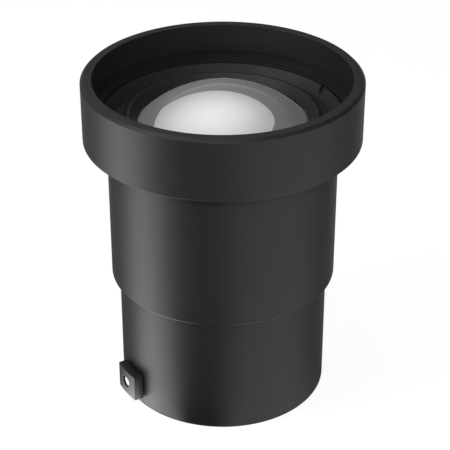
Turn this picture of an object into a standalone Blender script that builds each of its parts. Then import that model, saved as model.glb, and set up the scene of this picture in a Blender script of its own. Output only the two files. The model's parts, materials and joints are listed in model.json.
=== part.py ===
"""A telephoto lens for a thermal camera, standing on its rear end.

The front hood, the main barrel and the rear barrel are three turned aluminium tubes
that screw into each other. The domed germanium lens sits in a cell inside the hood,
and two smaller lenses sit in a second cell inside the rear barrel. The rear end takes
the camera on a three-lug bayonet ring, and the index block beside it shows how to turn
the lens. All sizes are in metres, the axis is Z and the rear end stands on z = 0.
"""
from math import cos, pi, radians, sin, sqrt

import bmesh
import bpy
from mathutils import Matrix

# Clearance that is left between two pieces that touch or screw together
GAP = 0.0003

# Outside of the three tubes
REAR_HEIGHT = 0.0374
MAIN_HEIGHT = 0.0441
HOOD_HEIGHT = 0.0182
MAIN_RADIUS = 0.0332
HOOD_OVERHANG = 0.0068
REAR_STEP = 0.0023
MAIN_FOOT_FILLET = 0.0007
REAR_FOOT_CHAMFER = 0.0003

# Front hood
HOOD_WALL = 0.0033
HOOD_CHAMFER = 0.0008
HOOD_FOOT_CHAMFER = 0.0003
FILTER_BAND_HEIGHT = 0.0026
FILTER_BAND_UNDERCUT = 0.0004
LEDGE_WIDTH = 0.0019

# Main barrel
BARREL_WALL = 0.0019
BARREL_SPIGOT = 0.0025
CELL_STOP_WIDTH = 0.0018

# Front lens cell
CELL_WALL = 0.0025
CELL_FLANGE = 0.0013
CELL_CONE_RISE = 0.0026
CELL_RIM_CHAMFER = 0.0006
CELL_FOOT = 0.0034
LENS_SEAT_WIDTH = 0.0028
RETAINER_LIP = 0.0012
RETAINER_THREAD = 0.0030
SPANNER_SLOT_WIDTH = 0.0030
SPANNER_SLOT_DEPTH = 0.0016
SPANNER_SLOT_LENGTH = 0.0015
SPANNER_SLOT_ANGLE = 29.0
PIN_HOLE_RADIUS = 0.00055
PIN_HOLE_DEPTH = 0.0015
PIN_HOLE_INSET = 0.0011
PIN_HOLE_ANGLE = 27.0

# Domed front lens and its retaining ring
LENS_SAG = 0.01283
LENS_RIM = 0.0039
LENS_REAR_SAG = 0.0092
LENS_REAR_FLAT = 0.0030
RETAINER_RISE = 0.0030
RETAINER_FILLET = 0.0014
RETAINER_CREST = 0.0003
RETAINER_GRIP = 0.0027

# Rubber seals
SEAL_SECTION = 0.00085
SEAL_HEIGHT = 0.0026
LENS_SEAL_SECTION = 0.0006

# Rear barrel
NECK_LENGTH = 0.0100
NECK_STEP = 0.0007
REAR_WALL = 0.0022
INNER_STEP = 0.0037
INNER_STEP_HEIGHT = 0.0134

# Bayonet ring, its three lugs and screws
BAYONET_DEPTH = 0.0035
BAYONET_THICKNESS = 0.0025
BAYONET_RIM = 0.0010
LUG_COUNT = 3
LUG_REACH = 0.0014
LUG_ANGLE = 50.0
SCREW_INSET = 0.0019
SCREW_RADIUS = 0.0007
SCREW_LENGTH = 0.0048
SCREW_HEAD_RADIUS = 0.0013
SCREW_HEAD_HEIGHT = 0.0008
SCREW_SOCKET_RADIUS = 0.0006
SCREW_SOCKET_DEPTH = 0.0005

# Rear lens cell and the two small lenses
FLANGE_HEIGHT = 0.0040
FLANGE_WIDTH = 0.0032
WEB_THICKNESS = 0.0025
OPTIC_RADIUS = 0.0170
OPTIC_RIM = 0.0025
OPTIC_SAG = 0.0014
OPTIC_SEAT = 0.0018
OPTIC_POCKET = 0.0063
TUBE_WALL = 0.0023
TUBE_DROP = 0.0074
TUBE_LAND = 0.0058
OPTIC_RING_WIDTH = 0.0022
OPTIC_RING_BEVEL = 0.0007
LOCK_RING_HEIGHT = 0.0030
STOP_THICKNESS = 0.0008
STOP_HOLE_RADIUS = 0.0140
STOP_BEVEL = 0.0004

# Light baffle between the two cells
BAFFLE_WALL = 0.0014
BAFFLE_END = 0.0025
BAFFLE_REAR_RADIUS = 0.0185
BAFFLE_RIDGES = 5
BAFFLE_RIDGE_DEPTH = 0.0009
BAFFLE_SLOPE = 0.85

# Index block with its sunk dot
INDEX_ANGLE = 211.2
INDEX_WIDTH = 0.0099
INDEX_HEIGHT = 0.0083
INDEX_PROUD = 0.0032
INDEX_BOTTOM = 0.0028
INDEX_EDGE = 0.0002
DOT_RADIUS = 0.0015
DOT_SINK = 0.0005
DOT_THICKNESS = 0.0006
INDEX_SCREW_SPREAD = 0.0031
INDEX_SCREW_RISE = 0.0020
INDEX_SCREW_BITE = 0.0020

# Facets round each kind of piece
OUTER_STEPS = 56
FRONT_STEPS = 40
INNER_STEPS = 28
SMALL_STEPS = 12

# Radii that follow, from the outside in
r_hood = MAIN_RADIUS + HOOD_OVERHANG
r_hood_bore = r_hood - HOOD_WALL
r_filter_band = r_hood_bore + FILTER_BAND_UNDERCUT
r_pocket = r_filter_band - LEDGE_WIDTH
r_flange = r_pocket - GAP
r_cone_top = r_flange - CELL_RIM_CHAMFER
r_cone_foot = r_cone_top - CELL_CONE_RISE
r_barrel_bore = MAIN_RADIUS - BARREL_WALL
r_main_bore = r_barrel_bore - CELL_STOP_WIDTH
r_cell = r_barrel_bore - GAP
r_cell_thread = r_cell - CELL_WALL
r_retainer = r_cell_thread - GAP
r_lens_bore = r_cell_thread - RETAINER_LIP
r_lens = r_lens_bore - GAP
r_cell_hole = r_lens_bore - LENS_SEAT_WIDTH
r_retainer_hole = r_lens - RETAINER_GRIP
r_rear = MAIN_RADIUS - REAR_STEP
r_neck = r_rear - NECK_STEP
r_rear_bore = r_rear - REAR_WALL
r_inner = r_rear_bore - INNER_STEP
r_bayonet = r_rear_bore - GAP
r_bayonet_hole = r_inner - BAYONET_RIM
r_bayonet_screws = r_bayonet - SCREW_INSET
r_optic_bore = OPTIC_RADIUS + GAP
r_tube = r_optic_bore + TUBE_WALL
r_optic_hole = r_optic_bore - OPTIC_SEAT

# Heights that follow, from the rear end up
z_bayonet_top = BAYONET_DEPTH + BAYONET_THICKNESS
z_shoulder = z_bayonet_top + GAP
z_rear_seat = z_shoulder + INNER_STEP_HEIGHT
z_rear_cell = z_rear_seat + GAP
z_main = REAR_HEIGHT
z_neck = z_main + NECK_LENGTH
z_hood = z_main + MAIN_HEIGHT
z_top = z_hood + HOOD_HEIGHT
z_barrel_top = z_hood + BARREL_SPIGOT
z_flange = z_barrel_top + GAP
z_floor = z_flange + CELL_FLANGE
z_cone_top = z_floor + CELL_CONE_RISE
z_ledge = z_cone_top + GAP
z_filter_band = z_ledge + FILTER_BAND_HEIGHT
z_lens_rim = z_floor - RETAINER_THREAD
z_lens_foot = z_lens_rim - LENS_RIM
z_lens_seat = z_lens_foot - GAP
z_cell_foot = z_lens_seat - CELL_FOOT
z_cell_stop = z_cell_foot - GAP


def clear_scene():
    """Start from an empty scene."""
    for obj in list(bpy.data.objects):
        bpy.data.objects.remove(obj, do_unlink=True)


def finish(name, colour, roughness, metallic):
    """A plain surface: linear colour, roughness and metallic value."""
    material = bpy.data.materials.new(name)
    material.use_nodes = True
    shader = material.node_tree.nodes["Principled BSDF"]
    shader.inputs["Base Color"].default_value = (*colour, 1.0)
    shader.inputs["Roughness"].default_value = roughness
    shader.inputs["Metallic"].default_value = metallic
    return material


def make_object(name, bm, material, smooth=True):
    """Turn a finished bmesh into a named object with outward faces."""
    bmesh.ops.recalc_face_normals(bm, faces=bm.faces)
    mesh = bpy.data.meshes.new(name)
    bm.to_mesh(mesh)
    bm.free()
    if smooth:
        mesh.shade_smooth()
        mesh.set_sharp_from_angle(angle=radians(30))
    if material:
        mesh.materials.append(material)
    obj = bpy.data.objects.new(name, mesh)
    bpy.context.collection.objects.link(obj)
    return obj


def turned(name, profile, steps, material):
    """Spin a profile of (radius, height) points once round Z.

    The profile is a closed ring of points, or an open one whose two ends lie on the axis.
    """
    bm = bmesh.new()
    points = [bm.verts.new((r, 0.0, z)) for r, z in profile]
    on_axis = max(abs(profile[0][0]), abs(profile[-1][0])) < 1e-9
    pairs = list(zip(points, points[1:]))
    if not on_axis:
        pairs.append((points[-1], points[0]))
    edges = [bm.edges.new(pair) for pair in pairs]
    bmesh.ops.spin(bm, geom=points + edges, cent=(0, 0, 0), axis=(0, 0, 1), dvec=(0, 0, 0),
                   angle=2 * pi, steps=steps, use_merge=True)
    bmesh.ops.remove_doubles(bm, verts=bm.verts, dist=1e-6)
    return make_object(name, bm, material)


def arc(r_centre, z_centre, radius, start, end, count):
    """Points along an arc in the profile plane, angles in degrees from outwards."""
    turns = [radians(start + (end - start) * i / count) for i in range(count + 1)]
    return [(r_centre + radius * cos(a), z_centre + radius * sin(a)) for a in turns]


def ball_radius(rim, sag):
    """Radius of the ball whose cap has this rim radius and height."""
    return (rim * rim + sag * sag) / (2 * sag)


def cap(rim, z_rim, sag, r_from, r_to, count, lift=0.0):
    """Points on a ball-shaped cap between two radii, lifted square to its surface."""
    ball = ball_radius(rim, sag)
    z_centre = z_rim + sag - ball
    radii = [r_from + (r_to - r_from) * i / count for i in range(count + 1)]
    return [(r, z_centre + sqrt((ball + lift) ** 2 - r * r)) for r in radii]


def cylinder(name, radius, low, high, matrix, steps=24):
    """A cutting tool: a round bar along the Z of its matrix, from low to high."""
    bm = bmesh.new()
    bmesh.ops.create_cone(bm, cap_ends=True, segments=steps, radius1=radius, radius2=radius,
                          depth=high - low)
    bmesh.ops.translate(bm, verts=bm.verts, vec=(0, 0, (low + high) / 2))
    tool = make_object(name, bm, None, smooth=False)
    tool.matrix_world = matrix
    return tool


def cut(obj, tool):
    """Take a tool's shape out of a piece, and keep the tool out of the model."""
    tool.hide_render = True
    tool.display_type = "WIRE"
    modifier = obj.modifiers.new(tool.name, "BOOLEAN")
    modifier.operation = "DIFFERENCE"
    modifier.solver = "EXACT"
    modifier.object = tool


def at_angle(angle):
    """Turn about the lens axis, in degrees from +X."""
    return Matrix.Rotation(radians(angle), 4, "Z")


def upright_at(radius, angle, z=0.0):
    """A frame that stands upright at a radius and an angle round the axis."""
    return at_angle(angle) @ Matrix.Translation((radius, 0, z))


def pointing_out(angle, side, z):
    """A frame whose Z points straight out at an angle, shifted sideways and up."""
    return at_angle(angle) @ Matrix.Translation((0, side, z)) @ Matrix.Rotation(pi / 2, 4, "Y")


def front_hood(material):
    """Wide ring in front: open recess above, undercut band and ledge, neck below."""
    return turned("front_hood", [
        (r_hood_bore, z_top),
        (r_hood - HOOD_CHAMFER, z_top),
        (r_hood, z_top - HOOD_CHAMFER),
        (r_hood, z_hood + HOOD_FOOT_CHAMFER),
        (r_hood - HOOD_FOOT_CHAMFER, z_hood),
        (MAIN_RADIUS + GAP, z_hood),
        (MAIN_RADIUS + GAP, z_barrel_top),
        (r_pocket, z_barrel_top),
        (r_pocket, z_ledge),
        (r_filter_band, z_ledge),
        (r_filter_band, z_filter_band),
        (r_hood_bore, z_filter_band),
    ], OUTER_STEPS, material)


def main_barrel(material):
    """Middle tube: the front cell drops in from above, the rear neck from below."""
    fillet = MAIN_FOOT_FILLET
    foot = arc(MAIN_RADIUS - fillet, z_main + fillet, fillet, 0, -90, 3)
    return turned("main_barrel", [
        (r_barrel_bore, z_barrel_top),
        (MAIN_RADIUS, z_barrel_top),
        *foot,
        (r_neck + GAP, z_main),
        (r_neck + GAP, z_neck + GAP),
        (r_main_bore, z_neck + GAP),
        (r_main_bore, z_cell_stop),
        (r_barrel_bore, z_cell_stop),
    ], OUTER_STEPS, material)


def seal_groove(radius, z, section):
    """Four profile points of a groove cut inwards from a radius, from top to bottom."""
    half = section + GAP
    floor = radius - 2 * section - GAP
    return [(radius, z + half), (floor, z + half), (floor, z - half), (radius, z - half)]


def front_cell(material):
    """Cup for the domed lens: cone and floor in front, seat and seal groove inside."""
    r_seal = (r_cell_hole + r_lens_bore) / 2
    half = LENS_SEAL_SECTION + GAP / 2
    z_groove = z_lens_seat - 2 * LENS_SEAL_SECTION
    cell = turned("front_cell", [
        (r_cone_top, z_cone_top),
        (r_flange, z_cone_top - CELL_RIM_CHAMFER),
        (r_flange, z_flange),
        (r_cell, z_flange),
        *seal_groove(r_cell, z_cell_foot + SEAL_HEIGHT, SEAL_SECTION),
        (r_cell, z_cell_foot),
        (r_cell_hole, z_cell_foot),
        (r_cell_hole, z_lens_seat),
        (r_seal - half, z_lens_seat),
        (r_seal - half, z_groove),
        (r_seal + half, z_groove),
        (r_seal + half, z_lens_seat),
        (r_lens_bore, z_lens_seat),
        (r_lens_bore, z_lens_rim),
        (r_cell_thread, z_lens_rim),
        (r_cell_thread, z_floor),
        (r_cone_foot, z_floor),
    ], FRONT_STEPS, material)
    for i in range(2):
        slot_angle = SPANNER_SLOT_ANGLE + 180 * i
        cut(cell, slot_tool(f"slot_tool_{i + 1}", slot_angle))
        hole = upright_at(r_cell_thread + PIN_HOLE_INSET, PIN_HOLE_ANGLE + 180 * i, z_floor)
        tool = cylinder(f"pin_hole_tool_{i + 1}", PIN_HOLE_RADIUS, -PIN_HOLE_DEPTH,
                        PIN_HOLE_DEPTH, hole, SMALL_STEPS)
        cut(cell, tool)
    return cell


def slot_tool(name, angle):
    """End mill path of a spanner slot: a bar with a round inner end, open outwards."""
    half = SPANNER_SLOT_WIDTH / 2
    r_end = r_flange - SPANNER_SLOT_LENGTH
    r_open = r_flange + half
    turns = [radians(90 + 180 * i / 8) for i in range(9)]
    outline = [(r_end + half * cos(a), half * sin(a)) for a in turns]
    outline += [(r_open, -half), (r_open, half)]
    bm = bmesh.new()
    z_low = z_cone_top - SPANNER_SLOT_DEPTH
    face = bm.faces.new([bm.verts.new((x, y, z_low)) for x, y in outline])
    grown = bmesh.ops.extrude_face_region(bm, geom=[face])["geom"]
    rise = [v for v in grown if isinstance(v, bmesh.types.BMVert)]
    bmesh.ops.translate(bm, verts=rise, vec=(0, 0, 2 * SPANNER_SLOT_DEPTH))
    tool = make_object(name, bm, None, smooth=False)
    tool.matrix_world = at_angle(angle)
    return tool


def front_lens(material):
    """Domed germanium meniscus: ball-shaped front, hollow back, flat seat and rim."""
    r_curve = r_lens - LENS_REAR_FLAT
    front = cap(r_lens, z_lens_rim, LENS_SAG, 0.0, r_lens, 9)
    back = cap(r_curve, z_lens_foot, LENS_REAR_SAG, r_curve, 0.0, 6)
    return turned("front_lens", [*front, (r_lens, z_lens_foot), *back], FRONT_STEPS, material)


def front_retaining_ring(material):
    """Threaded ring that holds the dome: round outer edge, slope down to the lens."""
    z_crest = z_floor + RETAINER_RISE
    fillet = RETAINER_FILLET
    r_crest = r_retainer - fillet
    edge = arc(r_crest, z_crest - fillet, fillet, 90, 0, 4)
    z_foot = z_lens_rim + GAP
    under = cap(r_lens, z_lens_rim, LENS_SAG, r_lens - GAP, r_retainer_hole, 3, lift=GAP)
    return turned("front_retaining_ring", [
        (r_crest - RETAINER_CREST, z_crest),
        *edge,
        (r_retainer, z_foot),
        (r_lens, z_foot),
        *under,
    ], FRONT_STEPS, material)


def seal(name, radius, z, section, material):
    """Rubber ring of round section."""
    ring = arc(radius, z, section, 0, 360, 6)[:-1]
    return turned(name, ring, INNER_STEPS, material)


def baffle_tube(material):
    """Light trap between the cells: a cone with sharp ridges inside and a rim at each end."""
    r_out = r_main_bore - GAP
    z_low = z_neck + GAP
    z_high = z_cell_stop
    r_front = r_cell_hole

    def r_inside(z):
        share = (z - z_low) / (z_high - z_low)
        return BAFFLE_REAR_RADIUS + (r_front - BAFFLE_REAR_RADIUS) * share

    wall = BAFFLE_RIDGE_DEPTH + BAFFLE_WALL
    profile = [
        (r_out, z_high),
        (r_out, z_high - BAFFLE_END),
        (r_inside(z_high - BAFFLE_END) + wall, z_high - BAFFLE_END),
        (r_inside(z_low + BAFFLE_END) + wall, z_low + BAFFLE_END),
        (r_out, z_low + BAFFLE_END),
        (r_out, z_low),
    ]
    pitch = (z_high - z_low) / BAFFLE_RIDGES
    for i in range(BAFFLE_RIDGES):
        z = z_low + pitch * i
        profile.append((r_inside(z), z))
        profile.append((r_inside(z + pitch) + BAFFLE_RIDGE_DEPTH, z + pitch * BAFFLE_SLOPE))
    profile.append((r_front, z_high))
    return turned("baffle_tube", profile, INNER_STEPS, material)


def rear_barrel(material):
    """Rear tube: neck above, seat for the rear cell inside, bayonet pocket below."""
    barrel = turned("rear_barrel", [
        (r_rear_bore, z_neck),
        (r_neck, z_neck),
        (r_neck, z_main - GAP),
        (r_rear, z_main - GAP),
        (r_rear, REAR_FOOT_CHAMFER),
        (r_rear - REAR_FOOT_CHAMFER, 0.0),
        (r_rear_bore, 0.0),
        (r_rear_bore, z_shoulder),
        (r_inner, z_shoulder),
        (r_inner, z_rear_seat),
        (r_rear_bore, z_rear_seat),
    ], OUTER_STEPS, material)
    for i in range(LUG_COUNT):
        place = upright_at(r_bayonet_screws, bayonet_screw_angle(i))
        z_end = BAYONET_DEPTH + SCREW_HEAD_HEIGHT + SCREW_LENGTH + 2 * GAP
        cut(barrel, cylinder(f"bayonet_tap_tool_{i + 1}", SCREW_RADIUS + GAP,
                             z_shoulder - SCREW_RADIUS, z_end, place, SMALL_STEPS))
    for i, side in enumerate((-1, 1)):
        place = index_screw_frame(side)
        r_seat = r_inner + SCREW_HEAD_HEIGHT + GAP
        cut(barrel, cylinder(f"index_bore_tool_{i + 1}", SCREW_RADIUS + GAP,
                             r_inner - SCREW_RADIUS, r_rear + SCREW_RADIUS, place, SMALL_STEPS))
        cut(barrel, cylinder(f"index_head_tool_{i + 1}", SCREW_HEAD_RADIUS + GAP,
                             r_inner - SCREW_HEAD_RADIUS, r_seat, place, SMALL_STEPS))
    return barrel


def bayonet_screw_angle(i):
    """The screws sit half-way between the lugs."""
    return (i + 0.5) * 360 / LUG_COUNT


def bayonet_ring(material):
    """Flat ring with lugs that reach inwards, screwed to the rear barrel's shoulder."""
    pitch = 360 / LUG_COUNT
    rim = []
    for i in range(LUG_COUNT):
        start = i * pitch - LUG_ANGLE / 2
        for step in range(7):
            rim.append((start + LUG_ANGLE * step / 6, r_bayonet_hole - LUG_REACH))
        first = LUG_ANGLE + 1
        for step in range(8):
            rim.append((start + first + (pitch - first - 1) * step / 7, r_bayonet_hole))
    bm = bmesh.new()
    loops = []
    for outer, z in ((False, BAYONET_DEPTH), (True, BAYONET_DEPTH),
                     (True, z_bayonet_top), (False, z_bayonet_top)):
        loop = []
        for angle, r_in in rim:
            r = r_bayonet if outer else r_in
            a = radians(angle)
            loop.append(bm.verts.new((r * cos(a), r * sin(a), z)))
        loops.append(loop)
    for this, other in zip(loops, loops[1:] + loops[:1]):
        for k in range(len(rim)):
            n = (k + 1) % len(rim)
            bm.faces.new((this[k], this[n], other[n], other[k]))
    ring = make_object("bayonet_ring", bm, material)
    for i in range(LUG_COUNT):
        place = upright_at(r_bayonet_screws, bayonet_screw_angle(i))
        cut(ring, cylinder(f"bayonet_hole_tool_{i + 1}", SCREW_RADIUS + GAP,
                           0.0, z_shoulder, place, SMALL_STEPS))
        cut(ring, cylinder(f"bayonet_sink_tool_{i + 1}", SCREW_HEAD_RADIUS + GAP,
                           0.0, BAYONET_DEPTH + SCREW_HEAD_HEIGHT + GAP, place, SMALL_STEPS))
    return ring


def screw(name, length, matrix, material):
    """Small machine screw with its head at the origin and its shank along +Z."""
    obj = turned(name, [
        (0.0, SCREW_SOCKET_DEPTH),
        (SCREW_SOCKET_RADIUS, SCREW_SOCKET_DEPTH),
        (SCREW_SOCKET_RADIUS, 0.0),
        (SCREW_HEAD_RADIUS, 0.0),
        (SCREW_HEAD_RADIUS, SCREW_HEAD_HEIGHT),
        (SCREW_RADIUS, SCREW_HEAD_HEIGHT),
        (SCREW_RADIUS, SCREW_HEAD_HEIGHT + length),
        (0.0, SCREW_HEAD_HEIGHT + length),
    ], SMALL_STEPS, material)
    obj.matrix_world = matrix
    return obj


def rear_cell(material):
    """Flange, web and tube in one: a pocket for a small lens at each end of the tube."""
    z_flange_top = z_rear_cell + FLANGE_HEIGHT
    z_web_top = z_rear_cell + WEB_THICKNESS
    z_low = z_rear_cell - TUBE_DROP
    z_high = z_low + 2 * OPTIC_POCKET + TUBE_LAND
    r_flange_in = r_bayonet - FLANGE_WIDTH
    groove = seal_groove(r_bayonet, z_rear_cell + FLANGE_HEIGHT / 2, SEAL_SECTION)
    return turned("rear_cell", [
        (r_flange_in, z_flange_top),
        (r_bayonet, z_flange_top),
        *groove,
        (r_bayonet, z_rear_cell),
        (r_tube, z_rear_cell),
        (r_tube, z_low),
        (r_optic_bore, z_low),
        (r_optic_bore, z_low + OPTIC_POCKET),
        (r_optic_hole, z_low + OPTIC_POCKET),
        (r_optic_hole, z_high - OPTIC_POCKET),
        (r_optic_bore, z_high - OPTIC_POCKET),
        (r_optic_bore, z_high),
        (r_tube, z_high),
        (r_tube, z_web_top),
        (r_flange_in, z_web_top),
    ], INNER_STEPS, material)


def small_lens(name, z_rim, upwards, material):
    """Lens with one domed side, one hollow side and a round edge between them."""
    side = 1 if upwards else -1
    r_clear = OPTIC_RADIUS - OPTIC_SEAT
    domed = cap(r_clear, 0.0, OPTIC_SAG, 0.0, r_clear, 4)
    hollow = cap(r_clear, 0.0, OPTIC_SAG / 2, r_clear, 0.0, 3)
    profile = [(r, z_rim + side * z) for r, z in domed]
    profile.append((OPTIC_RADIUS, z_rim))
    profile.append((OPTIC_RADIUS, z_rim - side * OPTIC_RIM))
    profile += [(r, z_rim - side * OPTIC_RIM + side * z) for r, z in hollow]
    return turned(name, profile, INNER_STEPS, material)


def plain_ring(name, r_outer, r_hole, z_low, z_high, bevel, material):
    """Flat ring whose hole opens with a bevel on its top side, or below if negative."""
    depth = abs(bevel)
    top = depth if bevel > 0 else 0.0
    bottom = depth if bevel < 0 else 0.0
    profile = [(r_outer, z_high), (r_outer, z_low), (r_hole + bottom, z_low)]
    profile.append((r_hole, z_low + bottom if bottom else z_high - top))
    profile.append((r_hole + top, z_high))
    return turned(name, profile, INNER_STEPS, material)


def rear_optics(glass, metal):
    """Both small lenses, their retaining rings, the stop and the cell's lock ring."""
    z_low = z_rear_cell - TUBE_DROP
    z_high = z_low + 2 * OPTIC_POCKET + TUBE_LAND
    z_rear_rim = z_low + OPTIC_POCKET - GAP - OPTIC_RIM
    z_mid_rim = z_high - OPTIC_POCKET + GAP + OPTIC_RIM
    r_hole = OPTIC_RADIUS - OPTIC_RING_WIDTH + GAP
    small_lens("rear_lens", z_rear_rim, False, glass)
    small_lens("middle_lens", z_mid_rim, True, glass)
    plain_ring("rear_retaining_ring", OPTIC_RADIUS, r_hole, z_low + GAP, z_rear_rim - GAP,
               -OPTIC_RING_BEVEL, metal)
    plain_ring("middle_retaining_ring", OPTIC_RADIUS, r_hole, z_mid_rim + GAP, z_high - GAP,
               OPTIC_RING_BEVEL, metal)
    plain_ring("aperture_stop", r_tube, STOP_HOLE_RADIUS, z_high + GAP,
               z_high + GAP + STOP_THICKNESS, STOP_BEVEL, metal)
    z_lock = z_rear_cell + FLANGE_HEIGHT + GAP
    plain_ring("cell_lock_ring", r_bayonet, r_bayonet - FLANGE_WIDTH, z_lock,
               z_lock + LOCK_RING_HEIGHT, OPTIC_RING_WIDTH / 3, metal)


def index_screw_frame(side):
    """Place of one screw that holds the index block, on its left or right."""
    z = INDEX_BOTTOM + INDEX_HEIGHT / 2 + INDEX_SCREW_RISE
    return pointing_out(INDEX_ANGLE, side * INDEX_SCREW_SPREAD, z)


def index_block(material):
    """Block on the rear barrel: straight sides, outer face round the lens axis."""
    r_in = r_rear + GAP
    r_out = r_rear + INDEX_PROUD
    half = INDEX_WIDTH / 2
    sides = [half * (2 * i / 6 - 1) for i in range(7)]
    outline = [(sqrt(r_out ** 2 - y * y), y) for y in sides]
    outline += [(sqrt(r_in ** 2 - y * y), y) for y in reversed(sides)]
    bm = bmesh.new()
    face = bm.faces.new([bm.verts.new((x, y, INDEX_BOTTOM)) for x, y in outline])
    grown = bmesh.ops.extrude_face_region(bm, geom=[face])["geom"]
    rise = [v for v in grown if isinstance(v, bmesh.types.BMVert)]
    bmesh.ops.translate(bm, verts=rise, vec=(0, 0, INDEX_HEIGHT))
    block = make_object("index_block", bm, material, smooth=False)
    block.matrix_world = at_angle(INDEX_ANGLE)
    bevel = block.modifiers.new("broken_edges", "BEVEL")
    bevel.width = INDEX_EDGE
    bevel.segments = 1
    bevel.limit_method = "ANGLE"
    bevel.angle_limit = radians(60)
    dot_place = pointing_out(INDEX_ANGLE, 0.0, INDEX_BOTTOM + INDEX_HEIGHT / 2)
    sink = DOT_SINK + DOT_THICKNESS + GAP
    cut(block, cylinder("dot_hole_tool", DOT_RADIUS + GAP, r_out - sink, r_out + sink, dot_place))
    for i, side in enumerate((-1, 1)):
        r_end = r_rear + INDEX_SCREW_BITE + GAP
        cut(block, cylinder(f"index_tap_tool_{i + 1}", SCREW_RADIUS + GAP, r_rear - SCREW_RADIUS,
                            r_end, index_screw_frame(side), SMALL_STEPS))
    return block


def index_dot(material):
    """White disc sunk in the index block."""
    r_top = r_rear + INDEX_PROUD - DOT_SINK
    profile = [(0.0, r_top), (DOT_RADIUS, r_top), (DOT_RADIUS, r_top - DOT_THICKNESS),
               (0.0, r_top - DOT_THICKNESS)]
    dot = turned("index_dot", profile, 24, material)
    dot.matrix_world = pointing_out(INDEX_ANGLE, 0.0, INDEX_BOTTOM + INDEX_HEIGHT / 2)
    return dot


def build():
    """Make every piece of the lens."""
    clear_scene()
    black = finish("black_anodised_aluminium", (0.024, 0.024, 0.025), 0.42, 0.6)
    inner_black = finish("inner_black_aluminium", (0.012, 0.012, 0.012), 0.65, 0.3)
    germanium = finish("coated_germanium", (0.13, 0.13, 0.14), 0.15, 0.8)
    rubber = finish("black_rubber", (0.01, 0.01, 0.01), 0.8, 0.0)
    steel = finish("blackened_steel", (0.05, 0.05, 0.055), 0.35, 1.0)
    bayonet_steel = finish("stainless_steel", (0.45, 0.45, 0.45), 0.3, 1.0)
    white = finish("white_enamel", (0.8, 0.8, 0.8), 0.4, 0.0)

    front_hood(black)
    main_barrel(black)
    rear_barrel(black)
    front_cell(inner_black)
    front_lens(germanium)
    front_retaining_ring(inner_black)
    r_lens_seal = (r_cell_hole + r_lens_bore) / 2
    z_lens_seal = z_lens_seat - LENS_SEAL_SECTION + GAP / 2
    seal("lens_seal", r_lens_seal, z_lens_seal, LENS_SEAL_SECTION - GAP / 4, rubber)
    seal("front_o_ring", r_cell - SEAL_SECTION, z_cell_foot + SEAL_HEIGHT, SEAL_SECTION, rubber)
    baffle_tube(inner_black)
    rear_cell(inner_black)
    rear_optics(germanium, inner_black)
    z_rear_seal = z_rear_cell + FLANGE_HEIGHT / 2
    seal("rear_o_ring", r_bayonet - SEAL_SECTION, z_rear_seal, SEAL_SECTION, rubber)
    bayonet_ring(bayonet_steel)
    for i in range(LUG_COUNT):
        place = upright_at(r_bayonet_screws, bayonet_screw_angle(i), BAYONET_DEPTH)
        screw(f"bayonet_screw_{i + 1}", SCREW_LENGTH, place, steel)
    index_block(black)
    index_dot(white)
    head_seat = r_rear - r_inner - SCREW_HEAD_HEIGHT
    for i, side in enumerate((-1, 1)):
        place = index_screw_frame(side) @ Matrix.Translation((0, 0, r_inner))
        screw(f"index_screw_{i + 1}", head_seat + INDEX_SCREW_BITE, place, steel)


build()
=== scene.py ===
# %% [markdown]
# # A telephoto lens for a thermal camera
#
# The real object is a lens barrel of about a hand's length, turned from aluminium bars and
# dyed black. It stands on its rear end, so that the wide hood with the domed front glass
# points up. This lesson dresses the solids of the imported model: every piece that the eye can
# reach is made again as a fine, smooth surface at exactly the same place, and every piece
# gets a finish that is worked out from the real material.
#
# The first step loads the solids. They are the fixed frame that all later sizes come from.

import json
from math import cos, pi, radians, sin, sqrt, tan

import bmesh
import bpy
import numpy as np
from mathutils import Matrix, Vector


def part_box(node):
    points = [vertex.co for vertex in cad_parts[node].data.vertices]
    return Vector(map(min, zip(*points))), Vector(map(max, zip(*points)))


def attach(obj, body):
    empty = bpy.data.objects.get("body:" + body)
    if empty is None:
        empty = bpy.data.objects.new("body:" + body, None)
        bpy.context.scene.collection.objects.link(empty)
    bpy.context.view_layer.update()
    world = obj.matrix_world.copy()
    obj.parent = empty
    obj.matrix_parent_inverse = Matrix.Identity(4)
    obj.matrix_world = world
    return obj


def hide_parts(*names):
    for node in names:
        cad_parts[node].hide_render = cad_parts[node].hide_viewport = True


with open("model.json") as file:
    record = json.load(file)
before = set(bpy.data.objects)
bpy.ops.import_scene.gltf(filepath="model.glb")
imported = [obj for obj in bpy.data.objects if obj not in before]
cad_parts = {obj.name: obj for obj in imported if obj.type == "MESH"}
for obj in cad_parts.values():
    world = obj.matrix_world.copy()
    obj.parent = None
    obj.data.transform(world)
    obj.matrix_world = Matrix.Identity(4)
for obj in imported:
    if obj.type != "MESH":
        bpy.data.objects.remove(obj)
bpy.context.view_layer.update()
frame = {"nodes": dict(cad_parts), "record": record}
nodes = frame["nodes"]
MM = 0.001

# %% [markdown]
# ## The camera
#
# A camera comes first, because it decides how much detail shows. The view was worked out
# from the photograph: the ellipses of the rims give how far the camera looks down, and the
# way the barrel narrows towards its foot gives the distance. A long lens from 0.44 m away
# gives that mild narrowing. The camera slides a little to the right, so that the object
# stands a little left of the middle.

# %% The camera
CAMERA_DISTANCE = 0.43963
CAMERA_ELEVATION = 30.313
AIM_HEIGHT = 0.05124
CAMERA_SLIDE = 0.00064
FOCAL_LENGTH_MM = 118.7
SENSOR_WIDTH_MM = 36.0
CLIP_START, CLIP_END = 0.01, 20.0


def into_scene(name, data):
    """A new object for the data, linked to the scene."""
    thing = bpy.data.objects.new(name, data)
    bpy.context.scene.collection.objects.link(thing)
    return thing


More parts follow.
